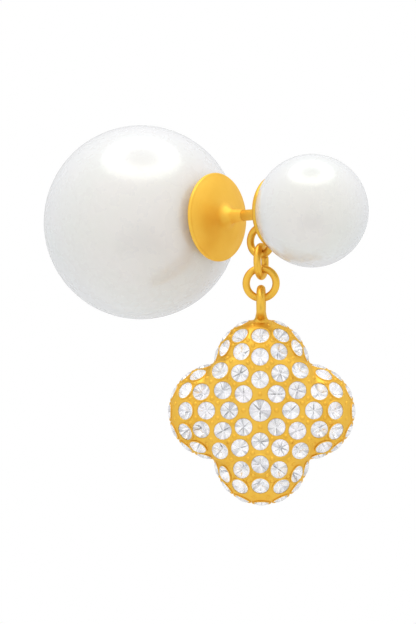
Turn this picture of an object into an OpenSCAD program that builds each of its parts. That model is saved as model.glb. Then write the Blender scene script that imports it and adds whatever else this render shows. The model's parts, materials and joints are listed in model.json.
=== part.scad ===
// Ear jacket earring: a small pearl in front of the ear lobe, a large one behind it,
// and a stone-set quatrefoil that hangs from the front setting on two wire rings.
// Millimetres. +Y runs along the ear post, from the small pearl to the large one.
// +Z is up. The origin is on the post's axis, in the middle of the gap for the lobe.

/* [Pearls] */
// Diameter of the small pearl in front of the ear
front_pearl_d = 9; // [8:0.25:11]
// Diameter of the large pearl behind the ear
back_pearl_d = 16; // [14:0.25:19]
// Gap between a pearl and the metal that holds it
pearl_gap = 0.05; // [0.04:0.01:0.08]

/* [Ear post] */
// Diameter of the post
post_d = 0.9; // [0.7:0.05:1.1]
// Length of the post behind the cup
post_length = 10.5; // [9.5:0.25:12]
// Length of the post's front end inside the small pearl
peg_length = 4; // [2:0.25:5]
// Space for the ear lobe, from the cup's back to the crown of the disc
lobe_gap = 3.9; // [3.5:0.1:6]

/* [Front cup and loop] */
// Wall of the cup
cup_wall = 0.2; // [0.2:0.05:0.5]
// Angle from the post to the cup's rim, seen from the pearl's centre
cup_angle = 42; // [38:0.5:56]
// Outside diameter of the loop soldered to the cup
loop_od = 2.8; // [2.6:0.1:3.2]
// How far the loop's centre lies below the post
loop_below = 2.15; // [2:0.05:2.3]
// How deep the loop's wire is let into the cup
loop_inset = 0.14; // [0.1:0.02:0.2]

/* [Back disc and sleeve] */
// Diameter of the domed disc
disc_d = 7.2; // [6:0.2:9]
// Thickness of the disc's rounded rim
disc_rim = 0.36; // [0.3:0.02:0.5]
// Height of the dome above its rim
dome_rise = 0.95; // [0.6:0.05:1.3]
// Outside diameter of the tapered nose where it leaves the dome
nose_d = 1.6; // [1.4:0.05:1.8]
// Length of the nose in front of the dome
nose_length = 1.65; // [1.4:0.05:1.8]
// Wall of the nose at its thin end
nose_lip = 0.05; // [0.04:0.01:0.08]
// Radius of the flare between the nose and the dome
nose_flare = 0.25; // [0.15:0.05:0.4]
// Outside diameter of the sleeve inside the large pearl
sleeve_d = 2; // [1.8:0.1:2.6]
// Wall that closes the sleeve behind the post
sleeve_end = 0.5; // [0.3:0.1:1]
// Running clearance between the post and its bore, on the radius
post_clearance = 0.03; // [0.02:0.01:0.05]
// Free space between the post's tip and the bottom of its bore
tip_gap = 0.3; // [0.2:0.1:1]

/* [Rings] */
// Outside diameter of the two wire rings
ring_od = 3; // [2.8:0.1:3.4]
// Wire of the rings and the loop
wire_d = 0.6; // [0.5:0.02:0.66]
// Gap between two wires that hang in each other
wire_gap = 0.05; // [0.03:0.01:0.08]
// Turn of the upper ring away from square to the post
upper_turn = 24; // [0:1:30]

/* [Pendant] */
// Distance between neighbouring stones, which sizes the whole quatrefoil
pave_pitch = 1.6; // [1.55:0.01:1.9]
// Height of the puffed front above the widest outline
front_rise = 3.3; // [3:0.1:3.8]
// Depth of the plain back behind the widest outline
back_rise = 1.2; // [1:0.1:2]
// Turn of the pendant's face away from the front of the earring
face_turn = 53; // [45:1:60]
// Outside diameter of the pendant's bail
bail_od = 3; // [2.8:0.1:3.4]
// Wire of the bail
bail_wire = 0.7; // [0.6:0.02:0.74]
// How deep the bail is sunk into the pendant's edge
bail_sink = 0.3; // [0.2:0.05:0.4]
// Distance of the bail in front of the widest outline, over the centre of mass
bail_forward = 0.85; // [0.5:0.05:1.1]

/* [Stones] */
// Diameter of the stones in the pave
stone_d = 1.4; // [1.2:0.02:1.44]
// Diameter of the stones round the rim
rim_stone_d = 1.3; // [1.1:0.02:1.36]
// Diameter of the stone in the centre
centre_stone_d = 1.75; // [1.5:0.05:1.9]
// Gap between a stone and its seat
seat_gap = 0.05; // [0.03:0.01:0.06]
// How far a stone's girdle lies below the metal around it
girdle_sink = 0.12; // [0.08:0.01:0.16]
// Height of the rim stones above the widest outline
rim_stone_rise = 0.5; // [0.4:0.05:0.7]

/* [Hidden] */
$fn = 96;
GOLD = [0.94, 0.70, 0.24];
PEARL = [0.96, 0.95, 0.94];
CRYSTAL = [0.90, 0.92, 0.97];
EPS = 0.01;

// Places along the post
cup_back_y = -lobe_gap / 2;
cup_r = front_pearl_d / 2 + pearl_gap + cup_wall;
seat_r = front_pearl_d / 2 + pearl_gap;
front_pearl_y = cup_back_y - cup_r;
crown_y = lobe_gap / 2;
disc_back_y = crown_y + dome_rise + disc_rim;
back_pearl_y = disc_back_y + pearl_gap + back_pearl_d / 2;
post_tip_y = cup_back_y + post_length;
bore_r = post_d / 2 + post_clearance;
bore_end_y = post_tip_y + tip_gap;
sleeve_end_y = bore_end_y + sleeve_end;

// Dome of the disc, a cap of a large ball
rim_r = disc_rim / 2;
dome_edge_r = disc_d / 2 - rim_r;
dome_r = (dome_edge_r * dome_edge_r + dome_rise * dome_rise) / (2 * dome_rise);

// Loop behind the cup, and the drop's line through its lowest point
loop_r = (loop_od - wire_d) / 2;
loop_y = front_pearl_y + sqrt(cup_r * cup_r - loop_below * loop_below) + loop_r - loop_inset;
loop_bottom_z = -loop_below - loop_r;
ring_r = (ring_od - wire_d) / 2;
upper_z = loop_bottom_z + wire_d + wire_gap - ring_r;
lower_z = upper_z - 2 * ring_r + wire_d + wire_gap;
ring_bottom_z = lower_z - ring_r;
bail_r = (bail_od - bail_wire) / 2;
bail_z = ring_bottom_z + (wire_d + bail_wire) / 2 + wire_gap - bail_r;

// Outline of the quatrefoil in stone pitches, and the powers that shape its roundness
LOBE_OFFSET = 2.28;
LOBE_RADIUS = 2.345;
PILLOW_RADIUS = 3.3;
LOBE_POWER = 2.4;
PILLOW_POWER = 16;
BLEND_POWER = 8;
lobe_offset = LOBE_OFFSET * pave_pitch;
lobe_r = LOBE_RADIUS * pave_pitch;
pillow_r = PILLOW_RADIUS * pave_pitch;
lobe_tip = lobe_offset + lobe_r;
pendant_z = bail_z - bail_od / 2 + bail_sink - lobe_tip;

// Mesh of the quatrefoil: steps round it, and rings on its front and back
TURN_STEPS = 96;
FRONT_RINGS = 11;
BACK_RINGS = 6;

// Stones of one quarter in pitches: [along the lobe, across it]
PAVE_CHART = [
    [0.82, 0.82],
    [1.53, 0],
    [1.85, 1.00],
    [2.01, 2.01],
    [2.67, 0],
    [2.94, 0.95],
    [3.75, 0],
    [3.78, 1.05],
    [3.16, 1.84],
];
RIM_ANGLES = [-75 : 25 : 75];

// Cut of the stones, as shares of their diameter
TABLE = 0.56;
CROWN = 0.17;
GIRDLE = 0.03;
PAVILION = 0.42;
CUT_SIDES = 8;

// How full the outline is at a point: 0 at its middle and 1 on its edge
function share(length, size, power) = pow(max(length / size, 0.01), power);
function fill_at(p) =
    let (
        a = max(abs(p[0]), abs(p[1])),
        b = min(abs(p[0]), abs(p[1])),
        near_lobe = share(norm([a - lobe_offset, b]), lobe_r, LOBE_POWER),
        side_lobe = share(norm([a, b - lobe_offset]), lobe_r, LOBE_POWER),
        pillow = share(norm([a, b]), pillow_r, PILLOW_POWER)
    )
    pow(
        pow(near_lobe, -BLEND_POWER) + pow(side_lobe, -BLEND_POWER) + pow(pillow, -BLEND_POWER),
        -1 / BLEND_POWER
    );

// Distance from a centre, in one direction, to where the outline is that full
function reach(centre, angle, level, low, high, steps = 26) =
    let (middle = (low + high) / 2)
    steps == 0
        ? middle
        : fill_at(centre + middle * [cos(angle), sin(angle)]) < level
            ? reach(centre, angle, level, middle, high, steps - 1)
            : reach(centre, angle, level, low, middle, steps - 1);

// Height of the front over a point, and the outward direction there
function front_height(p) = front_rise * sqrt(max(0, 1 - fill_at(p)));
function outward(p, z) =
    let (
        d = 0.002,
        slope_x = (fill_at([p[0] + d, p[1]]) - fill_at([p[0] - d, p[1]])) / (2 * d),
        slope_y = (fill_at([p[0], p[1] + d]) - fill_at([p[0], p[1] - d])) / (2 * d),
        n = [slope_x, slope_y, 2 * z / (front_rise * front_rise)]
    )
    n / norm(n);

function turned(p, angle) = [
    p[0] * cos(angle) - p[1] * sin(angle),
    p[0] * sin(angle) + p[1] * cos(angle)
];

// Every stone as [place, outward direction]
front_stones = [
    for (c = PAVE_CHART)
        for (quarter = [0 : 3])
            for (side = c[1] == 0 || c[0] == c[1] ? [1] : [1, -1])
                let (p = turned(pave_pitch * [c[0], side * c[1]], 90 * quarter))
                [[p[0], p[1], front_height(p)], outward(p, front_height(p))]
];
rim_level = 1 - pow(rim_stone_rise / front_rise, 2);
rim_stones = [
    for (quarter = [0 : 3])
        for (angle = RIM_ANGLES)
            if (quarter != 1 || angle != 0)
                let (
                    far = reach([lobe_offset, 0], angle, rim_level, 0, 1.2 * lobe_r),
                    q = [lobe_offset + far * cos(angle), far * sin(angle)],
                    p = turned(q, 90 * quarter)
                )
                [[p[0], p[1], rim_stone_rise], outward(p, rim_stone_rise)]
];
middle_stone = [[0, 0, front_rise], [0, 0, 1]];

// Surface of the quatrefoil: one ring of points for each share of the outline
outline = [
    for (i = [0 : TURN_STEPS - 1])
        reach([0, 0], 360 * i / TURN_STEPS, 1, lobe_r, 1.2 * lobe_tip)
];
function body_ring(s, rise) = [
    for (i = [0 : TURN_STEPS - 1])
        let (
            p = s * outline[i] * [cos(360 * i / TURN_STEPS), sin(360 * i / TURN_STEPS)],
            z = s == 1 ? 0 : rise * sqrt(max(0, 1 - fill_at(p)))
        )
        [p[0], p[1], z]
];
body_points = concat(
    [[0, 0, front_rise]],
    [for (j = [1 : FRONT_RINGS]) each body_ring(sin(90 * j / FRONT_RINGS), front_rise)],
    [for (j = [BACK_RINGS - 1 : -1 : 1]) each body_ring(sin(90 * j / BACK_RINGS), -back_rise)],
    [[0, 0, -back_rise]]
);
RING_COUNT = FRONT_RINGS + BACK_RINGS - 1;
function ring_point(ring, i) = 1 + ring * TURN_STEPS + i % TURN_STEPS;
body_faces = concat(
    [for (i = [0 : TURN_STEPS - 1]) [0, ring_point(0, i + 1), ring_point(0, i)]],
    [
        for (r = [0 : RING_COUNT - 2])
            for (i = [0 : TURN_STEPS - 1])
                each [
                    [ring_point(r, i), ring_point(r, i + 1), ring_point(r + 1, i + 1)],
                    [ring_point(r, i), ring_point(r + 1, i + 1), ring_point(r + 1, i)]
                ]
    ],
    [
        for (i = [0 : TURN_STEPS - 1])
            [ring_point(RING_COUNT - 1, i), ring_point(RING_COUNT - 1, i + 1), len(body_points) - 1]
    ]
);

// Turns a piece made along Z so that it lies along the post
module along_post(y) {
    translate([0, y, 0]) rotate([-90, 0, 0]) children();
}

// Puts a piece made in the pendant's own plane on the drop's line, facing the front
module facing(z, turn) {
    translate([0, loop_y, z]) rotate([90, 0, turn]) children();
}

module wire_ring(radius, wire) {
    rotate_extrude() translate([radius, 0]) circle(d = wire);
}

// Sets a piece on the pendant's surface at a stone's place
module at_stone(s, sink) {
    translate(s[0] - sink * s[1])
        rotate([0, acos(s[1][2]), atan2(s[1][1], s[1][0])])
            children();
}

module cut_stone(d) {
    hull() {
        translate([0, 0, CROWN * d - EPS]) cylinder(d = TABLE * d, h = EPS, $fn = CUT_SIDES);
        rotate(180 / CUT_SIDES) cylinder(d = d, h = GIRDLE * d, $fn = CUT_SIDES);
        translate([0, 0, -PAVILION * d])
            rotate(180 / CUT_SIDES) cylinder(d1 = 0, d2 = d, h = PAVILION * d, $fn = CUT_SIDES);
    }
}

module stone_seat(d) {
    deep = PAVILION * d + 2 * seat_gap;
    hull() {
        rotate(180 / CUT_SIDES) cylinder(d = d + 2 * seat_gap, h = d / 2, $fn = CUT_SIDES);
        translate([0, 0, -deep])
            rotate(180 / CUT_SIDES)
                cylinder(d1 = 0, d2 = d + 2 * seat_gap, h = deep, $fn = CUT_SIDES);
    }
}

// Cup, post and loop, soldered together
module front_setting() {
    color(GOLD) {
        difference() {
            union() {
                along_post(front_pearl_y) cup_shell();
                translate([0, loop_y, -loop_below]) rotate([0, 90, 0]) wire_ring(loop_r, wire_d);
            }
            translate([0, front_pearl_y, 0]) sphere(r = seat_r);
        }
        along_post(cup_back_y - cup_wall - peg_length)
            cylinder(d = post_d, h = peg_length + cup_wall + post_length);
    }
}

module cup_shell() {
    rotate_extrude() intersection() {
        difference() {
            circle(r = cup_r);
            circle(r = seat_r);
        }
        translate([0, cup_r * cos(cup_angle)]) square([cup_r, cup_r]);
    }
}

module front_pearl() {
    color(PEARL) difference() {
        translate([0, front_pearl_y, 0]) sphere(d = front_pearl_d);
        along_post(cup_back_y - cup_wall - peg_length - pearl_gap)
            cylinder(r = post_d / 2 + pearl_gap, h = peg_length + cup_wall + pearl_gap);
    }
}

// Domed disc with its nose, and the sleeve that the large pearl is fixed on
module back_setting() {
    color(GOLD) along_post(crown_y) rotate_extrude() back_profile();
}

module back_profile() {
    rim_y = dome_rise + rim_r;
    difference() {
        union() {
            intersection() {
                translate([0, dome_r]) circle(r = dome_r, $fn = 256);
                square([dome_edge_r, dome_rise + EPS]);
            }
            translate([0, dome_rise]) square([dome_edge_r, disc_rim]);
            translate([dome_edge_r, rim_y]) circle(r = rim_r);
            translate([0, -nose_length]) nose_half();
            square([sleeve_d / 2, sleeve_end_y - crown_y]);
        }
        translate([-EPS, -nose_length - EPS])
            square([bore_r + EPS, bore_end_y - crown_y + nose_length + EPS]);
    }
}

module nose_half() {
    wide = nose_d / 2 + nose_flare;
    flare_y = nose_length - nose_flare + flare_drop(wide);
    difference() {
        square([wide, nose_length + dome_rise / 2]);
        translate([wide, flare_y]) circle(r = nose_flare);
        polygon([[bore_r + nose_lip, -EPS], [wide, -EPS], [wide, flare_y], [nose_d / 2, flare_y]]);
    }
}

// Depth of the dome's surface behind its crown at a distance from the post
function flare_drop(r) = dome_r - sqrt(dome_r * dome_r - r * r);

module back_pearl() {
    color(PEARL) difference() {
        translate([0, back_pearl_y, 0]) sphere(d = back_pearl_d);
        along_post(disc_back_y)
            cylinder(r = sleeve_d / 2 + pearl_gap, h = sleeve_end_y + pearl_gap - disc_back_y);
    }
}

module upper_link() {
    color(GOLD) facing(upper_z, upper_turn) wire_ring(ring_r, wire_d);
}

module lower_link() {
    color(GOLD) facing(lower_z, -face_turn) wire_ring(ring_r, wire_d);
}

// Places what is made in the pendant's own axes: X right, Y up, Z out of its face
module in_pendant() {
    facing(pendant_z, -face_turn) translate([0, 0, -bail_forward]) children();
}

// The bail is soldered on, so it ends where the quatrefoil's surface begins
module pendant_bail() {
    color(GOLD) in_pendant() {
        difference() {
            bail();
            quatrefoil();
        }
    }
}

module quatrefoil() {
    polyhedron(points = body_points, faces = body_faces);
}

module pendant_body() {
    color(GOLD) in_pendant() {
        difference() {
            quatrefoil();
            for (s = front_stones) at_stone(s, girdle_sink) stone_seat(stone_d);
            for (s = rim_stones) at_stone(s, girdle_sink) stone_seat(rim_stone_d);
            at_stone(middle_stone, girdle_sink) stone_seat(centre_stone_d);
        }
    }
}

module bail() {
    foot = bail_wire;
    translate([0, bail_z - pendant_z, bail_forward])
        rotate([0, 90, 0])
            rotate_extrude($fn = 24) translate([bail_r, 0]) circle(d = bail_wire, $fn = 8);
    translate([0, lobe_tip + bail_wire, bail_forward])
        rotate([90, 0, 0])
            cylinder(d1 = bail_wire, d2 = 2 * bail_wire, h = foot + bail_sink, $fn = 12);
}

module centre_stone() {
    color(CRYSTAL) in_pendant() at_stone(middle_stone, girdle_sink) cut_stone(centre_stone_d);
}

module pave_front() {
    color(CRYSTAL) in_pendant()
        for (s = front_stones) at_stone(s, girdle_sink) cut_stone(stone_d);
}

module pave_rim() {
    color(CRYSTAL) in_pendant()
        for (s = rim_stones) at_stone(s, girdle_sink) cut_stone(rim_stone_d);
}

front_setting();
front_pearl();
back_setting();
back_pearl();
upper_link();
lower_link();
pendant_bail();
pendant_body();
centre_stone();
pave_front();
pave_rim();
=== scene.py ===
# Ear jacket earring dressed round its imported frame: two pearls, gold-plated metal and a
# stone-set quatrefoil. Blender units are metres. +Y runs along the ear post and +Z is up.
import json
import math

import bmesh
import bpy
import numpy as np
from mathutils import Matrix, Vector


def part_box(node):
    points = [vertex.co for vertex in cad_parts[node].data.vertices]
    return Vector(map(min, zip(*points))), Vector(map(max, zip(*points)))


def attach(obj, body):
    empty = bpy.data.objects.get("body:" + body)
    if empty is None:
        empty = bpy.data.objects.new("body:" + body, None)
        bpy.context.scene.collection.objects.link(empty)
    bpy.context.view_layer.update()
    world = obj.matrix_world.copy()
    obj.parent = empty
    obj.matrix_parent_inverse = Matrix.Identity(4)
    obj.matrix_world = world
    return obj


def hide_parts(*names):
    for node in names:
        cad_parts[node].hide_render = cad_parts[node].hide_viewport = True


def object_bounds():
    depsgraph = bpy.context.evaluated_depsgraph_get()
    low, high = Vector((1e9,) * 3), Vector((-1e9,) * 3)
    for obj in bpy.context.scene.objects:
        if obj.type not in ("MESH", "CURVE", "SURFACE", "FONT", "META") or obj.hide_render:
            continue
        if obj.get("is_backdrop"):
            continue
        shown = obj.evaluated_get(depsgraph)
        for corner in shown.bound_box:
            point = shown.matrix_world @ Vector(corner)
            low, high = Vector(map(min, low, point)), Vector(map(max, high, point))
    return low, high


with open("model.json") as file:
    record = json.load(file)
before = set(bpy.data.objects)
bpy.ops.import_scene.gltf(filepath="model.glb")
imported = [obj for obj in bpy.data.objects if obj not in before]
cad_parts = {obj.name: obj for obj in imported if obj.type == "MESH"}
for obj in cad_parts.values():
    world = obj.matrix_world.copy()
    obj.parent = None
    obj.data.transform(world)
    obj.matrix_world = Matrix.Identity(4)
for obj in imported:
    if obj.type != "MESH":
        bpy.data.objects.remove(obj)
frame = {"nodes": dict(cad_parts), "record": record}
cad_low, cad_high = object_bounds()

# A millimetre in metres, and the sizes in millimetres that the frame doesn't state
MM = 0.001
WIRE_D = 0.6
PEG_LENGTH = 4.0
LOOP_D = 2.8
PEARL_GAP = 0.05
RIM_BITE = 0.01
DISC_RIM = 0.36
DOME_RISE = 0.95
NOSE_D = 1.1
NOSE_FLARE = 0.9
NOSE_LIP = 0.02
NOSE_MOUTH_CLEARANCE = 0.004
NOSE_MOUTH_LENGTH = 0.15
SLEEVE_D = 2.0
SLEEVE_END = 0.5
BORE_CLEARANCE = 0.03
PAVE_PITCH = 1.6
FRONT_RISE = 3.3
BACK_RISE = 1.2
BAIL_D = 3.0
BAIL_WIRE = 0.7
BAIL_SINK = 0.3
BAIL_FORWARD = 0.85

# Outline of the quatrefoil in stone pitches, and the powers that shape its roundness
LOBE_OFFSET = 2.28 * PAVE_PITCH
LOBE_RADIUS = 2.345 * PAVE_PITCH
PILLOW_RADIUS = 3.3 * PAVE_PITCH
LOBE_POWER = 2.4
PILLOW_POWER = 16
BLEND_POWER = 8
LOBE_TIP = LOBE_OFFSET + LOBE_RADIUS

# Cut of the stones, as shares of their diameter: widths, heights from the girdle's lower
# edge, and the distances from the axis where the star and the low facets meet
TABLE = 0.56
CROWN = 0.17
GIRDLE = 0.03
PAVILION = 0.42
STAR_REACH = 0.385
LOW_REACH = 0.115
SIDES = 8

# View of the photograph: direction and distance of the camera, and how large it frames
CAMERA_AZIMUTH = -49.9
CAMERA_ELEVATION = -3.1
CAMERA_DISTANCE = 0.281
CAMERA_LENS = 200.0
CAMERA_SENSOR = 36.0
CAMERA_CLIP = (0.01, 10.0)

UP = Vector((0, 0, 1))
POST_AXIS = Matrix.Rotation(math.radians(-90), 4, "X")


def mm_box(node):
    """Lowest and highest corner of a CAD node in millimetres."""
    low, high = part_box(node)
    return Vector(low) / MM, Vector(high) / MM


def joint_named(name):
    return next(j for j in frame["record"]["behaviour"]["joints"] if j["name"] == name)


# Places in millimetres, from the frame
mount = frame["record"]["mounts"][0]
post_r = mount["dims"]["r_mm"]
lobe_gap = mount["dims"]["length_mm"]
setting_high = mm_box("front_setting")[1]
holder_low, holder_high = mm_box("back_setting")
front_low, front_high = mm_box("front_pearl")
back_low, back_high = mm_box("back_pearl")
body_low = mm_box("pendant_body")[0]
front_pearl_r = front_high.x
front_pearl_y = front_low.y + front_pearl_r
back_pearl_r = back_high.x
back_pearl_y = back_high.y - back_pearl_r
cup_back_y = -lobe_gap / 2
cup_r = cup_back_y - front_pearl_y
cup_wall = cup_r - front_pearl_r - PEARL_GAP
crown_y = lobe_gap / 2
disc_r = holder_high.x
disc_back_y = crown_y + DOME_RISE + DISC_RIM
post_tip_y = setting_high.y
loop_bottom = Vector(joint_named("drop_swing")["pos_m"]) / MM
wire_r = WIRE_D / 2
loop_r = LOOP_D / 2 - wire_r
loop_centre = loop_bottom + loop_r * UP

# Axes of the pendant: right and up in its face, and out of it
pendant_right = Vector(joint_named("pendant_swing")["axis"]).normalized()
pendant_out = pendant_right.cross(UP)
drop_line = Vector((0, loop_bottom.y, 0))
pendant_z = body_low.z + LOBE_TIP
PENDANT = Matrix((
    (*pendant_right,),
    (*UP,),
    (*pendant_out,),
)).transposed().to_4x4()
PENDANT.translation = drop_line + pendant_z * UP - BAIL_FORWARD * pendant_out


def arc(centre_r, centre_y, radius, start, end, steps):
    """Points (radius from the axis, place along it) on an arc; angles in degrees from outward."""
    turns = [math.radians(start + (end - start) * i / steps) for i in range(steps + 1)]
    return [(centre_r + radius * math.cos(t), centre_y + radius * math.sin(t)) for t in turns]


def revolve(profile, steps=96, place=Matrix.Identity(4)):
    """Mesh turned round Z from points (radius, height); a closed profile starts and ends alike."""
    bm = bmesh.new()
    rings = []
    closed = profile[0] == profile[-1]
    for radius, height in profile[:-1] if closed else profile:
        turns = [2 * math.pi * i / steps for i in range(steps if radius > 1e-6 else 1)]
        rings.append([
            bm.verts.new(place @ Vector((radius * math.cos(t), radius * math.sin(t), height)))
            for t in turns
        ])
    if closed:
        rings.append(rings[0])
    for a, b in zip(rings, rings[1:]):
        for i in range(steps):
            j = (i + 1) % steps
            corners = [a[i % len(a)], a[j % len(a)], b[j % len(b)], b[i % len(b)]]
            bm.faces.new(dict.fromkeys(corners))
    bmesh.ops.recalc_face_normals(bm, faces=bm.faces)
    return bm


def ring_of_wire(radius, wire, place, steps=96, sides=24):
    """Ring round Z: radius of its middle line, radius of its wire."""
    return revolve(arc(radius, 0, wire, 0, 360, sides)[:-1] + [(radius + wire, 0)], steps, place)


def mesh_of(name, bm):
    """Mesh from a bmesh, which is freed."""
    mesh = bpy.data.meshes.new(name)
    bm.to_mesh(mesh)
    bm.free()
    return mesh


def join(parts):
    """One bmesh that holds copies of several, which are freed."""
    whole = bmesh.new()
    for part in parts:
        mesh = mesh_of("part", part)
        whole.from_mesh(mesh)
        bpy.data.meshes.remove(mesh)
    return whole


def piece(name, bm, materials, body, nodes, sharp_angle=32):
    """Shown object in metres from a mesh in millimetres, riding on a body."""
    mesh = mesh_of(name, bm)
    mesh.transform(Matrix.Scale(MM, 4))
    mesh.shade_smooth()
    mesh.set_sharp_from_angle(angle=math.radians(sharp_angle))
    for material in materials:
        mesh.materials.append(material)
    shown = bpy.data.objects.new(name, mesh)
    bpy.context.scene.collection.objects.link(shown)
    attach(shown, body)
    if nodes:
        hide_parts(*nodes)
    return shown


def boolean(base, others, operation):
    """Bmesh of one with others joined to it or cut from it. Frees them all."""
    made = [bpy.data.objects.new("operand", mesh_of("operand", bm)) for bm in [base, *others]]
    group = bpy.data.collections.new("operands")
    bpy.context.scene.collection.objects.link(made[0])
    for other in made[1:]:
        group.objects.link(other)
    step = made[0].modifiers.new("step", "BOOLEAN")
    step.operation = operation
    step.operand_type = "COLLECTION"
    step.collection = group
    step.solver = "MANIFOLD"
    evaluated = made[0].evaluated_get(bpy.context.evaluated_depsgraph_get())
    result = bmesh.new()
    result.from_mesh(evaluated.to_mesh())
    for shown in made:
        bpy.data.objects.remove(shown)
    bpy.data.collections.remove(group)
    return result


# Materials

def new_material(name):
    """Material with a Principled shader, as (material, shader, helper that adds a node)."""
    material = bpy.data.materials.new(name)
    material.use_nodes = True
    tree = material.node_tree

    def add(kind, inputs=None, **settings):
        node = tree.nodes.new(kind)
        for key, value in settings.items():
            setattr(node, key, value)
        for key, value in (inputs or {}).items():
            if isinstance(value, bpy.types.NodeSocket):
                tree.links.new(value, node.inputs[key])
            else:
                node.inputs[key].default_value = value
        return node

    return material, tree.nodes["Principled BSDF"], add


def plug(shader, socket, source):
    shader.id_data.links.new(source, shader.inputs[socket])


def set_stops(color_ramp, stops):
    """Gives a colour ramp its (place, colour) stops."""
    while len(color_ramp.elements) < len(stops):
        color_ramp.elements.new(0.5)
    for element, (place, colour) in zip(color_ramp.elements, stops):
        element.position = place
        element.color = (*colour, 1)


def ramp(add, factor, stops):
    """Colour ramp through (place, colour) stops."""
    node = add("ShaderNodeValToRGB", {"Fac": factor})
    set_stops(node.color_ramp, stops)
    return node.outputs["Color"]


def greys(stops):
    """(place, colour) stops from (place, level) ones."""
    return [(place, (level, level, level)) for place, level in stops]


# Stops of the gold's colour, the colour of its highlights, and how far its turned grooves
# waver in metres and how strong they are beside the rub marks
GOLD_TONES = (
    (0.3, (0.84, 0.48, 0.058)),
    (0.5, (0.87, 0.515, 0.068)),
    (0.72, (0.90, 0.55, 0.085)),
)
GOLD_GLINT = (1.0, 0.82, 0.45, 1)
GROOVE_WAVER = 0.00022
GROOVE_SHARE = 1.6
# Colour of the foils' glow, which is painted light
FOIL_GLOW = (0.95, 0.97, 1.0, 1)


def gold_material(name, roughness, painted_shade=1.0, metallic=0.75, turned=False):
    """Plated gold: a slow drift of colour and polish, fine rub marks and, where it is
    turned, fine grooves round the post's axis."""
    material, shader, add = new_material(name)
    place = add("ShaderNodeTexCoord").outputs["Object"]
    drift = add("ShaderNodeTexNoise", {"Vector": place, "Scale": 420.0, "Detail": 3.0})
    # The colour is scaled down by the given factor, which is painted shade
    colour = ramp(add, drift.outputs["Fac"], [
        (place, tuple(painted_shade * level for level in tone)) for place, tone in GOLD_TONES
    ])
    plug(shader, "Base Color", colour)
    polish = add("ShaderNodeTexNoise", {"Vector": place, "Scale": 1500.0, "Detail": 5.0})
    rough = add("ShaderNodeMapRange", {
        "Value": polish.outputs["Fac"],
        "From Min": 0.3,
        "From Max": 0.7,
        "To Min": roughness - 0.05,
        "To Max": roughness + 0.07,
    })
    plug(shader, "Roughness", rough.outputs["Result"])
    marks = add("ShaderNodeTexNoise", {"Vector": place, "Scale": 5200.0, "Detail": 4.0})
    height = marks.outputs["Fac"]
    if turned:
        flat = add("ShaderNodeVectorMath", {0: place, 1: (1, 0, 1)}, operation="MULTIPLY")
        reach = add("ShaderNodeVectorMath", {0: flat.outputs["Vector"]}, operation="LENGTH")
        waver = add("ShaderNodeMath", {
            0: drift.outputs["Fac"],
            1: GROOVE_WAVER,
            2: reach.outputs["Value"],
        }, operation="MULTIPLY_ADD")
        grooves = add("ShaderNodeTexNoise", {
            "W": waver.outputs["Value"],
            "Scale": 9000.0,
            "Detail": 3.0,
        }, noise_dimensions="1D")
        both = add("ShaderNodeMath", {
            0: grooves.outputs["Fac"],
            1: GROOVE_SHARE,
            2: height,
        }, operation="MULTIPLY_ADD")
        height = both.outputs["Value"]
    bump = add("ShaderNodeBump", {"Height": height, "Strength": 0.2, "Distance": 0.000006})
    plug(shader, "Normal", bump.outputs["Normal"])
    shader.inputs["Metallic"].default_value = metallic
    shader.inputs["Specular Tint"].default_value = GOLD_GLINT
    return material


def pearl_material(name):
    """Imitation pearl: milky body with faint clouds under a clear soft gloss."""
    material, shader, add = new_material(name)
    place = add("ShaderNodeTexCoord").outputs["Object"]
    clouds = add("ShaderNodeTexNoise", {
        "Vector": place,
        "Scale": 190.0,
        "Detail": 4.0,
        "Distortion": 0.6,
    })
    colour = ramp(add, clouds.outputs["Fac"], [
        (0.32, (0.676, 0.674, 0.655)),
        (0.48, (0.686, 0.674, 0.662)),
        (0.66, (0.698, 0.677, 0.672)),
    ])
    plug(shader, "Base Color", colour)
    layers = add("ShaderNodeTexNoise", {"Vector": place, "Scale": 900.0, "Detail": 5.0})
    rough = add("ShaderNodeMapRange", {
        "Value": layers.outputs["Fac"],
        "From Min": 0.3,
        "From Max": 0.7,
        "To Min": 0.25,
        "To Max": 0.31,
    })
    plug(shader, "Roughness", rough.outputs["Result"])
    shader.inputs["IOR"].default_value = 1.56
    shader.inputs["Specular IOR Level"].default_value = 0.2
    shader.inputs["Coat Weight"].default_value = 0.7
    shader.inputs["Coat Roughness"].default_value = 0.18
    shader.inputs["Coat IOR"].default_value = 2.0
    shader.inputs["Subsurface Weight"].default_value = 0.6
    shader.inputs["Subsurface Radius"].default_value = (1.0, 0.97, 0.93)
    shader.inputs["Subsurface Scale"].default_value = 0.0012
    shader.inputs["Thin Film Thickness"].default_value = 320.0
    shader.inputs["Thin Film IOR"].default_value = 1.4
    return material


def crystal_material():
    """Clear cut glass with the faintest lilac and grey drift."""
    material, shader, add = new_material("clear_crystal")
    place = add("ShaderNodeTexCoord").outputs["Object"]
    drift = add("ShaderNodeTexNoise", {"Vector": place, "Scale": 700.0, "Detail": 2.0})
    colour = ramp(add, drift.outputs["Fac"], [
        (0.35, (0.93, 0.94, 1.0)),
        (0.5, (0.98, 0.98, 0.99)),
        (0.65, (0.97, 0.94, 0.99)),
    ])
    plug(shader, "Base Color", colour)
    smudge = add("ShaderNodeTexNoise", {"Vector": place, "Scale": 3000.0, "Detail": 2.0})
    rough = add("ShaderNodeMapRange", {
        "Value": smudge.outputs["Fac"],
        "To Min": 0.0,
        "To Max": 0.05,
    })
    plug(shader, "Roughness", rough.outputs["Result"])
    shader.inputs["IOR"].default_value = 1.33
    shader.inputs["Transmission Weight"].default_value = 1.0
    return material


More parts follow.
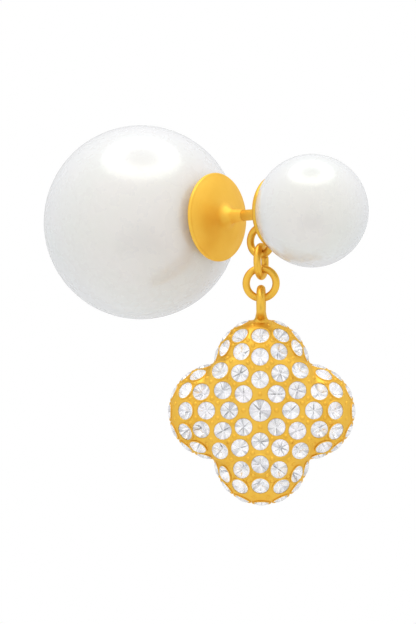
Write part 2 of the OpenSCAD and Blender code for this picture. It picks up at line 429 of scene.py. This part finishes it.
def foil_material(name, metallic, glow, stops):
    """Silvered back of a stone, each facet with a random grey of its own that paints the dark
    and bright reflections of a real stone. A faint glow, painted light, stands in for the
    light that a real stone gathers from all its facets."""
    material, shader, add = new_material(name)
    tone = add("ShaderNodeAttribute", attribute_name="facet_tone").outputs["Fac"]
    colour = ramp(add, tone, greys(stops))
    plug(shader, "Base Color", colour)
    place = add("ShaderNodeTexCoord").outputs["Object"]
    cloud = add("ShaderNodeTexNoise", {"Vector": place, "Scale": 2500.0})
    rough = add("ShaderNodeMapRange", {
        "Value": cloud.outputs["Fac"],
        "To Min": 0.06,
        "To Max": 0.2,
    })
    plug(shader, "Roughness", rough.outputs["Result"])
    shader.inputs["Metallic"].default_value = metallic
    shader.inputs["Emission Color"].default_value = FOIL_GLOW
    shader.inputs["Emission Strength"].default_value = glow
    return material


# Copies of one gold, the colour darkened as painted shade: most on the post, less on the pendant
# among its stones, least on the wires
GOLD_CAST = gold_material("cast_gold", 0.35, painted_shade=0.92)
GOLD_WIRE = gold_material("wire_gold", 0.33, painted_shade=0.96)
GOLD_POST = gold_material("drawn_gold", 0.33, painted_shade=0.86, turned=True)
GOLD_DISC = gold_material("turned_gold", 0.42, metallic=0.6, turned=True)
PEARL = pearl_material("white_pearl")
CRYSTAL = crystal_material()
# Foils of the inner and the rim stones: painted reflections in their facet greys, and a glow of
# painted light
FOIL = foil_material("silver_foil", 0.8, 0.1, ((0.0, 0.3), (0.3, 0.75), (1.0, 1.0)))
FOIL_EDGE = foil_material("pale_foil", 0.35, 0.18, ((0.0, 0.5), (0.4, 0.9), (1.0, 1.0)))


# Pearls, each turned with its drill hole

def pearl(name, centre_y, radius, hole_r, hole_from, hole_to, body, node):
    """Ball with a blind hole that opens on the side of hole_from and ends at hole_to."""
    side = 1 if hole_from > centre_y else -1
    chamfer = 0.06
    mouth = math.degrees(math.asin((hole_r + chamfer) / radius))
    outside = arc(0, 0, radius, -90, 90 - mouth, 90)
    outside[0] = (0.0, -radius)
    mouth_y = outside[-1][1]
    bottom_y = side * (hole_to - centre_y)
    hole = [(hole_r, mouth_y - chamfer), (hole_r, bottom_y), (0.0, bottom_y)]
    place = POST_AXIS @ Matrix.Translation((0, 0, centre_y)) @ Matrix.Scale(side, 4, (0, 0, 1))
    bm = revolve(outside + hole, 128, place)
    bmesh.ops.recalc_face_normals(bm, faces=bm.faces)
    return piece(name, bm, [PEARL], body, [node], 40)


peg_front_y = cup_back_y - cup_wall - PEG_LENGTH
pearl("front_pearl_nacre", front_pearl_y, front_pearl_r, post_r + PEARL_GAP,
      front_high.y, peg_front_y - PEARL_GAP, "stud", "front_pearl")
pearl("back_pearl_nacre", back_pearl_y, back_pearl_r, SLEEVE_D / 2 + PEARL_GAP,
      back_low.y, holder_high.y + PEARL_GAP, "back", "back_pearl")


# Front setting: cup, post and the loop soldered behind the cup

def front_setting():
    """Profile from the peg in the pearl along the cup's inside, its burnished rim and its
    back to the post, with a groove near the post's rounded tip."""
    inner_r = front_pearl_r - RIM_BITE
    rim = math.degrees(math.asin(setting_high.x / cup_r))
    taper = 4.0
    tip = 0.3
    solder = 0.22
    chamfer = 0.1
    groove_r = 0.41
    groove_depth = 0.06
    groove_to_tip = 1.3
    start = math.degrees(math.asin(post_r / inner_r))
    leave = math.degrees(math.asin((post_r + solder) / cup_r))
    inside = arc(0, front_pearl_y, inner_r, 90 - start, 90 - rim, 40)
    burnished = []
    for height, back in ((0.4, 0.08), (0.7, 0.26), (0.9, 0.55)):
        at_r = inner_r + (cup_r - inner_r) * height
        burnished.append(arc(0, front_pearl_y, at_r, 90 - rim + taper * back, 0, 1)[0])
    outside = arc(0, front_pearl_y, cup_r, 90 - rim + taper, 90 - leave, 40)
    post_start = front_pearl_y + cup_r * math.cos(math.radians(leave)) + solder
    fillet = arc(post_r + solder, post_start, solder, 250, 180, 6)
    groove_y = post_tip_y - groove_to_tip
    groove = arc(post_r + groove_r - groove_depth, groove_y, groove_r, 220, 140, 8)
    groove = [(r, y) for r, y in groove if r < post_r]
    end = arc(post_r - tip, post_tip_y - tip, tip, 0, 90, 8)
    profile = [
        (0.0, peg_front_y),
        (post_r - chamfer, peg_front_y),
        (post_r, peg_front_y + chamfer),
        *inside,
        *burnished,
        *outside,
        *fillet,
        *groove,
        *end,
        (0.0, post_tip_y),
    ]
    turned = revolve(profile, 128, POST_AXIS)
    loop_place = Matrix.Translation(loop_centre) @ Matrix.Rotation(math.radians(90), 4, "Y")
    loop = ring_of_wire(loop_r, wire_r, loop_place)
    bm = boolean(turned, [loop], "UNION")
    return piece("front_cup_and_post", bm, [GOLD_POST], "stud", ["front_setting"])


front_setting()


# Back setting: domed disc, flared nose and the sleeve in the large pearl

def back_setting():
    """Profile from the blind bore's end out at the nose's mouth, along the nose and its
    round foot to the dome, round the disc's rim and back along the sleeve. The foot's arc
    ends on the dome, so the dome's own points start a degree further out."""
    rim_r = DISC_RIM / 2
    edge_r = disc_r - rim_r
    dome_r = (edge_r ** 2 + DOME_RISE ** 2) / (2 * DOME_RISE)
    bore_r = post_r + BORE_CLEARANCE
    bore_end = holder_high.y - SLEEVE_END
    nose_y = holder_low.y
    edge = 0.05
    mouth_r = post_r + NOSE_MOUTH_CLEARANCE
    tip_r = post_r + NOSE_LIP
    root_r = NOSE_D / 2
    foot_r = root_r + NOSE_FLARE
    dome_y = crown_y + dome_r
    foot_turn = math.asin(foot_r / (dome_r + NOSE_FLARE))
    foot_y = dome_y - (dome_r + NOSE_FLARE) * math.cos(foot_turn)
    lean = math.degrees(math.atan2(root_r - tip_r, foot_y - nose_y))
    dome_start = math.degrees(foot_turn)
    dome_end = math.degrees(math.asin(edge_r / dome_r))
    profile = [
        (0.0, bore_end),
        (bore_r, bore_end),
        (bore_r, nose_y + NOSE_MOUTH_LENGTH + edge),
        (mouth_r, nose_y + NOSE_MOUTH_LENGTH),
        (mouth_r, nose_y),
        (tip_r, nose_y),
        *arc(foot_r, foot_y, NOSE_FLARE, 180 - lean, 90 + dome_start, 16),
        *arc(0, dome_y, dome_r, -90 + dome_start + 1, -90 + dome_end, 36),
        *arc(edge_r, crown_y + DOME_RISE + rim_r, rim_r, -60, 90, 14),
        (SLEEVE_D / 2, disc_back_y),
        (SLEEVE_D / 2, holder_high.y - edge),
        (SLEEVE_D / 2 - edge, holder_high.y),
        (0.0, holder_high.y),
    ]
    bm = revolve(profile, 144, POST_AXIS)
    return piece("back_disc_and_sleeve", bm, [GOLD_DISC], "back", ["back_setting"])


back_setting()


# Jump rings, each closed where its wire's two ends meet: how far the upper one is turned
# about the vertical, where on each ring its seam lies as a turn from level, half of the
# seam's width, all in radians, and the share of the wire's thickness that is left there
UPPER_TURN = math.radians(24.0)
UPPER_SEAM = 0.4
LOWER_SEAM = math.radians(90)
SEAM_GAP = math.radians(1.0)
SEAM_TAPER = 0.9


def jump_ring(name, node, hole_axis, seam_turn):
    """Round wire ring where the CAD has its node, a little thinner at its two ends."""
    low, high = mm_box(node)
    centre = (low + high) / 2
    ring_r = (high.z - low.z) / 2 - wire_r
    steps, sides = 96, 24
    across = UP.cross(hole_axis).normalized()
    bm = bmesh.new()
    rows = []
    for i in range(steps + 1):
        turn = seam_turn + SEAM_GAP + (2 * math.pi - 2 * SEAM_GAP) * i / steps
        out = math.cos(turn) * across + math.sin(turn) * UP
        thick = wire_r * (SEAM_TAPER if i in (0, steps) else 1.0)
        middle = centre + out * ring_r
        turns = [2 * math.pi * k / sides for k in range(sides)]
        rows.append([
            bm.verts.new(middle + thick * (math.cos(t) * out + math.sin(t) * hole_axis))
            for t in turns
        ])
    for a, b in zip(rows, rows[1:]):
        for k in range(sides):
            n = (k + 1) % sides
            bm.faces.new((a[k], a[n], b[n], b[k]))
    bm.faces.new(rows[0])
    bm.faces.new(rows[-1])
    bmesh.ops.recalc_face_normals(bm, faces=bm.faces)
    return piece(name, bm, [GOLD_WIRE], "drop", [node])


upper_axis = Vector((math.sin(UPPER_TURN), -math.cos(UPPER_TURN), 0))
jump_ring("upper_jump_ring", "upper_link", upper_axis, UPPER_SEAM)
jump_ring("lower_jump_ring", "lower_link", pendant_out, LOWER_SEAM)


# Quatrefoil surface, in the pendant's own millimetres

def fill_at(x, y):
    """How full the outline is at a point: 0 at its middle and 1 on its edge."""
    a, b = np.maximum(np.abs(x), np.abs(y)), np.minimum(np.abs(x), np.abs(y))

    def share(length, size, power):
        least = 0.01
        return np.maximum(length / size, least) ** power

    parts = (
        share(np.hypot(a - LOBE_OFFSET, b), LOBE_RADIUS, LOBE_POWER),
        share(np.hypot(a, b - LOBE_OFFSET), LOBE_RADIUS, LOBE_POWER),
        share(np.hypot(a, b), PILLOW_RADIUS, PILLOW_POWER),
    )
    return sum(p ** -BLEND_POWER for p in parts) ** (-1 / BLEND_POWER)


def outline_reach(turns):
    """Distance from the middle to the outline in each direction."""
    halvings = 40
    low = np.full(turns.shape, LOBE_RADIUS)
    high = np.full(turns.shape, 1.2 * LOBE_TIP)
    for _ in range(halvings):
        middle = (low + high) / 2
        inside = fill_at(middle * np.cos(turns), middle * np.sin(turns)) < 1
        low, high = np.where(inside, middle, low), np.where(inside, high, middle)
    return (low + high) / 2


def surface_gap(p):
    """Below 0 inside the quatrefoil, 0 on its surface and above 0 outside."""
    rise = FRONT_RISE if p[2] > 0 else BACK_RISE
    return float(fill_at(p[0], p[1])) + (p[2] / rise) ** 2 - 1


def onto_surface(p, along):
    """Point of the surface on the line through p in a direction."""
    halvings = 30
    low, high = -1.5, 1.5
    for _ in range(halvings):
        middle = (low + high) / 2
        if surface_gap(p + middle * along) < 0:
            low = middle
        else:
            high = middle
    return p + low * along


def quatrefoil(steps=288, front_rings=40, back_rings=18):
    """Body without its seats, in rings that close up towards the outline."""
    turns = 2 * np.pi * np.arange(steps) / steps
    reach = outline_reach(turns)

    def level(j, rings):
        return math.sin(math.pi / 2 * j / rings)

    levels = [(level(j, front_rings), FRONT_RISE) for j in range(1, front_rings + 1)]
    levels += [(level(j, back_rings), -BACK_RISE) for j in range(back_rings - 1, 0, -1)]
    bm = bmesh.new()
    rows = [[bm.verts.new((0, 0, FRONT_RISE))]]
    for share, rise in levels:
        x, y = share * reach * np.cos(turns), share * reach * np.sin(turns)
        z = rise * np.sqrt(np.maximum(0, 1 - fill_at(x, y))) * (share < 1)
        rows.append([bm.verts.new(p) for p in zip(x, y, z)])
    rows.append([bm.verts.new((0, 0, -BACK_RISE))])
    for a, b in zip(rows, rows[1:]):
        for i in range(steps):
            j = (i + 1) % steps
            corners = [a[i % len(a)], b[i % len(b)], b[j % len(b)], a[j % len(a)]]
            bm.faces.new(dict.fromkeys(corners))
    bmesh.ops.recalc_face_normals(bm, faces=bm.faces)
    return bm


# Stones, each where the CAD has its solid

def islands(node):
    """The loose solids of a CAD node, as lists of points in the pendant's millimetres."""
    bm = bmesh.new()
    bm.from_mesh(frame["nodes"][node].data)
    bmesh.ops.remove_doubles(bm, verts=bm.verts, dist=1e-6)
    inward = PENDANT.inverted()
    seen, found = set(), []
    for first in bm.verts:
        if first in seen:
            continue
        seen.add(first)
        solid, todo = [], [first]
        while todo:
            vert = todo.pop()
            solid.append(inward @ (vert.co / MM))
            for edge in vert.link_edges:
                other = edge.other_vert(vert)
                if other not in seen:
                    seen.add(other)
                    todo.append(other)
        found.append(solid)
    bm.free()
    return found


def stone_place(points):
    """(placing matrix of the girdle's plane, diameter) of a CAD stone. Its axis is the
    direction in which it is flattest, and its culet lies furthest out along that."""
    cloud = np.array([tuple(p) for p in points])
    cloud -= cloud.mean(0)
    axis = np.linalg.eigh(cloud.T @ cloud)[1][:, 0]
    heights = cloud @ axis
    heights *= -np.sign(heights[np.argmax(np.abs(heights))])
    order = np.argsort(heights)
    culet = points[order[0]]
    table = [points[i] for i in order[-SIDES:]]
    top = sum(table, Vector()) / SIDES
    out = (top - culet).normalized()
    size = (top - culet).length / (CROWN + PAVILION)
    side = (table[0] - top).normalized()
    place = Matrix((side, out.cross(side), out)).transposed().to_4x4()
    place.translation = culet + PAVILION * size * out
    return place, size


def brilliant(bm, tones, brightest, place, size, rng):
    """Adds one round brilliant: clear above its girdle, silvered on the girdle and below.
    Each facet gets a random grey up to brightest, a painted reflection."""
    half = size / 2
    slope = (CROWN - GIRDLE) / (1 / 2 - TABLE / 2)
    star_z = CROWN - slope * (STAR_REACH * math.cos(math.pi / SIDES) - TABLE / 2)
    low_z = -PAVILION + 2 * PAVILION * LOW_REACH * math.cos(math.pi / SIDES)

    def ring(radius, z, count, offset=0.0):
        turns = [2 * math.pi * (i + offset) / count for i in range(count)]
        return [
            bm.verts.new(place @ Vector((radius * math.cos(t), radius * math.sin(t), z * size)))
            for t in turns
        ]

    table = ring(TABLE * half, CROWN, SIDES)
    stars = ring(STAR_REACH * size, star_z, SIDES, 0.5)
    girdle_top = ring(half, GIRDLE, 2 * SIDES)
    girdle_low = ring(half, 0.0, 2 * SIDES)
    lows = ring(LOW_REACH * size, low_z, SIDES, 0.5)
    culet = bm.verts.new(place @ Vector((0, 0, -PAVILION * size)))
    crown, mains, flanks = [tuple(table)], [], []
    for i in range(SIDES):
        j, g, n = (i + 1) % SIDES, 2 * i, (2 * i + 2) % (2 * SIDES)
        crown.append((table[i], stars[i], table[j]))
        crown.append((table[i], stars[i - 1], girdle_top[g], stars[i]))
        crown.append((stars[i], girdle_top[g], girdle_top[g + 1]))
        crown.append((stars[i], girdle_top[g + 1], girdle_top[n]))
        flanks.append((girdle_low[g], girdle_low[g + 1], lows[i]))
        flanks.append((girdle_low[g + 1], girdle_low[n], lows[i]))
        mains.append((girdle_low[g], lows[i], culet, lows[i - 1]))
    for k in range(2 * SIDES):
        n = (k + 1) % (2 * SIDES)
        flanks.append((girdle_top[k], girdle_top[n], girdle_low[n], girdle_low[k]))
    for slot, group in enumerate((crown, mains, flanks)):
        for corners in group:
            face = bm.faces.new(corners)
            face.material_index = slot
            face[tones] = brightest * float(rng.random())


def set_stones(name, node, seed, brightest=1.0):
    """The stones of a CAD node as one piece of brilliants."""
    rng = np.random.default_rng(seed)
    bm = bmesh.new()
    tones = bm.faces.layers.float.new("facet_tone")
    placed = [stone_place(points) for points in islands(node)]
    for place, size in placed:
        brilliant(bm, tones, brightest, PENDANT @ place, size, rng)
    bmesh.ops.recalc_face_normals(bm, faces=bm.faces)
    shown = piece(name, bm, [CRYSTAL, FOIL, FOIL_EDGE], "pendant", [node])
    shown.data.shade_flat()
    return placed


# The rim stones' facets reach only half as bright: painted darker reflections
RIM_BRIGHTEST = 0.5
stones = (
    set_stones("centre_crystal", "centre_stone", 11)
    + set_stones("pave_crystals", "pave_front", 12)
    + set_stones("rim_crystals", "pave_rim", 13, RIM_BRIGHTEST)
)

# Metal of the pendant: body with its seats and bail, a rolled edge round each stone, and a
# grain in each gap between three stones that has room for one
SEAT_GAP = 0.05
BAIL_SOLDER = 0.1
BAIL_SOLDER_WIDTH = 1.35
EDGE_OUT = 0.065
EDGE_RISE = 0.05
EDGE_R = 0.06
NEIGHBOUR = 3.0
NEARLY_IN_LINE = 0.2
MIN_CLEAR = 0.1
GRAIN_SPACING = 0.5
GRAIN_LAP = 0.03
GRAIN_R = 0.22
GRAIN_SINK = 0.12


def seat(place, size):
    """Cutter for a stone's seat: a cone under the girdle and open above it."""
    wide = size / 2 + SEAT_GAP
    deep = PAVILION * size + 2 * SEAT_GAP
    return revolve([(0.0, -deep), (wide, 0.0), (wide, size / 2), (0.0, size / 2)], 32, place)


def bail():
    """Standing ring of the pendant and its foot, which widens into the quatrefoil's edge."""
    height = BAIL_D / 2 - BAIL_SINK + LOBE_TIP
    wire = BAIL_WIRE / 2
    side = Matrix.Rotation(math.radians(90), 4, "Y")
    ring = ring_of_wire(
        BAIL_D / 2 - wire, wire, Matrix.Translation((0, height, BAIL_FORWARD)) @ side, 72, 20
    )
    foot_low, foot_high = LOBE_TIP - 2 * BAIL_SINK, LOBE_TIP + BAIL_WIRE
    foot = revolve([
        (0.0, foot_low),
        (2 * wire, foot_low),
        (2 * wire, LOBE_TIP - BAIL_SINK),
        (BAIL_SOLDER_WIDTH * wire, LOBE_TIP + BAIL_SOLDER),
        (wire, foot_high),
        (0.0, foot_high),
    ], 32, Matrix.Translation((0, 0, BAIL_FORWARD)) @ POST_AXIS)
    return [ring, foot]


def rolled_edge(place, size):
    """Ring of metal pushed up against a stone's girdle."""
    lifted = place @ Matrix.Translation((0, 0, EDGE_RISE))
    return ring_of_wire(size / 2 + EDGE_OUT, EDGE_R, lifted, 40, 10)


def circle_middle(a, b, c):
    """Centre of the circle through three points, or None if they lie nearly in line."""
    u, v = b - a, c - a
    across = u.cross(v)
    if across.length < NEARLY_IN_LINE:
        return None
    lean = u.length_squared * v.cross(across) + v.length_squared * across.cross(u)
    return a + lean / (2 * across.length_squared)


def grain_places():
    """(point, outward, radius) of a grain in each gap between three stones that has room."""
    spots = [(place.translation, place.col[2].to_3d(), size / 2) for place, size in stones]
    near = [
        [j for j, (q, _, _) in enumerate(spots) if j > i and (q - p).length < NEIGHBOUR]
        for i, (p, _, _) in enumerate(spots)
    ]
    found = []
    for i, (p, n, _) in enumerate(spots):
        for j in near[i]:
            for k in near[i]:
                if k <= j or k not in near[j]:
                    continue
                middle = circle_middle(p, spots[j][0], spots[k][0])
                if middle is None:
                    continue
                out = (n + spots[j][1] + spots[k][1]).normalized()
                spot = onto_surface(middle, out)
                clear = min((spot - q).length - r for q, _, r in spots)
                found.append((spot, out, clear))
    kept = []
    for spot, out, clear in sorted(found, key=lambda f: -f[2]):
        apart = all((spot - other).length > GRAIN_SPACING for other, _, _ in kept)
        if clear > MIN_CLEAR and apart:
            kept.append((spot, out, min(GRAIN_R, clear + GRAIN_LAP)))
    return kept


def grain(point, out, radius):
    """Bead of metal, sunk into the surface."""
    turn = UP.rotation_difference(out).to_matrix().to_4x4()
    profile = [(0.0, -radius), *arc(0, 0, radius, -70, 70, 6), (0.0, radius)]
    return revolve(profile, 12, Matrix.Translation(point - GRAIN_SINK * out) @ turn)


body = boolean(quatrefoil(), bail(), "UNION")
body = boolean(body, [seat(place, size) for place, size in stones], "DIFFERENCE")
edges = join([rolled_edge(place, size) for place, size in stones])
grains = join([grain(*spot) for spot in grain_places()])
for name, bm, nodes in (
    ("quatrefoil_and_bail", body, ["pendant_body", "pendant_bail"]),
    ("rolled_stone_edges", edges, []),
    ("setting_grains", grains, []),
):
    bm.transform(PENDANT)
    piece(name, bm, [GOLD_CAST], "pendant", nodes)


# Floor, lights and camera, in metres and degrees. The softbox's stops run from its middle
# at 0 to its rim at 0.5: dark, then full, then dimmer. The room is as bright as given on
# the camera's side and behind the object, and its dim patch fades out from core to reach.
FLOOR_DROP = 0.15
FLOOR_R = 0.2
SOFTBOX_DISTANCE = 0.34
SOFTBOX_ELEVATION = 81
SOFTBOX_SIZE = 0.47
SOFTBOX_RADIANCE = 1.85
SOFTBOX_STOPS = ((0.0, 0.0), (0.15, 0.05), (0.25, 1.0), (0.4, 1.0), (0.5, 0.4))
ROOM_FRONT = 1.12
ROOM_BACK = 0.88
DIM_SHARE = 0.65
DIM_ELEVATION = -34
DIM_REACH = 36
DIM_CORE = 6


def direction(azimuth, elevation):
    """Unit vector from the object: azimuth 0 is in front of it, at -Y."""
    a, e = math.radians(azimuth), math.radians(elevation)
    return Vector((math.sin(a) * math.cos(e), -math.cos(a) * math.cos(e), math.sin(e)))


def floor():
    """Pale stage floor, well below the object."""
    material, shader, add = new_material("pale_floor")
    place = add("ShaderNodeTexCoord").outputs["Object"]
    paper = add("ShaderNodeTexNoise", {"Vector": place, "Scale": 60.0, "Detail": 6.0})
    colour = ramp(add, paper.outputs["Fac"], [(0.3, (0.86, 0.86, 0.86)), (0.7, (0.90, 0.90, 0.89))])
    plug(shader, "Base Color", colour)
    shader.inputs["Roughness"].default_value = 0.9
    mesh = mesh_of("floor", revolve([(0.0, 0.0), (FLOOR_R, 0.0)], 96))
    mesh.materials.append(material)
    ground = bpy.data.objects.new("floor", mesh)
    ground.location = (0, 0, cad_low.z - FLOOR_DROP)
    bpy.context.scene.collection.objects.link(ground)
    ground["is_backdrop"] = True


def softbox(aim):
    """Round softbox above the object and a little towards the camera. The lamp's own
    coordinates run from 0 to 1, so its middle is at 0.5, 0.5."""
    toward = direction(CAMERA_AZIMUTH, SOFTBOX_ELEVATION)
    area = math.pi * SOFTBOX_SIZE ** 2 / 4
    lamp = bpy.data.lights.new("overhead_softbox", "AREA")
    lamp.shape = "DISK"
    lamp.size = SOFTBOX_SIZE
    lamp.energy = SOFTBOX_RADIANCE * math.pi * area
    lamp.use_nodes = True
    tree = lamp.node_tree
    where = tree.nodes.new("ShaderNodeNewGeometry")
    reach = tree.nodes.new("ShaderNodeVectorMath")
    reach.operation = "DISTANCE"
    reach.inputs[1].default_value = (0.5, 0.5, 0.0)
    tree.links.new(where.outputs["Parametric"], reach.inputs[0])
    fade = tree.nodes.new("ShaderNodeValToRGB")
    set_stops(fade.color_ramp, greys(SOFTBOX_STOPS))
    tree.links.new(reach.outputs["Value"], fade.inputs["Fac"])
    tree.links.new(fade.outputs["Color"], tree.nodes["Emission"].inputs["Color"])
    shown = bpy.data.objects.new("overhead_softbox", lamp)
    shown.location = aim + SOFTBOX_DISTANCE * toward
    shown.rotation_mode = "QUATERNION"
    shown.rotation_quaternion = toward.to_track_quat("Z", "Y")
    bpy.context.scene.collection.objects.link(shown)


def studio_world():
    """White surroundings, brighter on the camera's side save for one dimmer patch below it.
    Seen straight they are plain white."""
    world = bpy.data.worlds.new("studio")
    world.use_nodes = True
    tree = world.node_tree
    where = tree.nodes.new("ShaderNodeTexCoord")

    def toward(elevation, interpolation, ranges):
        """Map of how near a direction lies to one on the camera's side."""
        dot = tree.nodes.new("ShaderNodeVectorMath")
        dot.operation = "DOT_PRODUCT"
        dot.inputs[1].default_value = direction(CAMERA_AZIMUTH, elevation)
        tree.links.new(where.outputs["Generated"], dot.inputs[0])
        fade = tree.nodes.new("ShaderNodeMapRange")
        fade.interpolation_type = interpolation
        for key, value in zip(("From Min", "From Max", "To Min", "To Max"), ranges):
            fade.inputs[key].default_value = value
        tree.links.new(dot.outputs["Value"], fade.inputs["Value"])
        return fade.outputs["Result"]

    def combine(operation, first, second):
        node = tree.nodes.new("ShaderNodeMath")
        node.operation = operation
        tree.links.new(first, node.inputs[0])
        tree.links.new(second, node.inputs[1])
        return node.outputs["Value"]

    room = toward(0, "LINEAR", (-1, 1, ROOM_BACK, ROOM_FRONT))
    patch = [math.cos(math.radians(reach)) for reach in (DIM_REACH, DIM_CORE)]
    dim = toward(DIM_ELEVATION, "SMOOTHSTEP", (*patch, 1, DIM_SHARE))
    seen = tree.nodes.new("ShaderNodeLightPath").outputs["Is Camera Ray"]
    strength = combine("MAXIMUM", combine("MULTIPLY", room, dim), seen)
    sky = tree.nodes["Background"]
    tree.links.new(strength, sky.inputs["Strength"])
    sky.inputs["Color"].default_value = (1, 1, 1, 1)
    bpy.context.scene.world = world


def camera():
    """The photograph's camera, aimed at the middle of the object."""
    low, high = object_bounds()
    middle = (low + high) / 2
    back = direction(CAMERA_AZIMUTH, CAMERA_ELEVATION)
    lens = bpy.data.cameras.new("camera")
    lens.lens = CAMERA_LENS
    lens.sensor_width = CAMERA_SENSOR
    lens.clip_start, lens.clip_end = CAMERA_CLIP
    shown = bpy.data.objects.new("camera", lens)
    shown.location = middle + CAMERA_DISTANCE * back
    shown.rotation_mode = "QUATERNION"
    shown.rotation_quaternion = back.to_track_quat("Z", "Y")
    bpy.context.scene.collection.objects.link(shown)
    bpy.context.scene.camera = shown


floor()
softbox((cad_low + cad_high) / 2)
studio_world()
camera()
bpy.context.scene.view_settings.view_transform = "Standard"
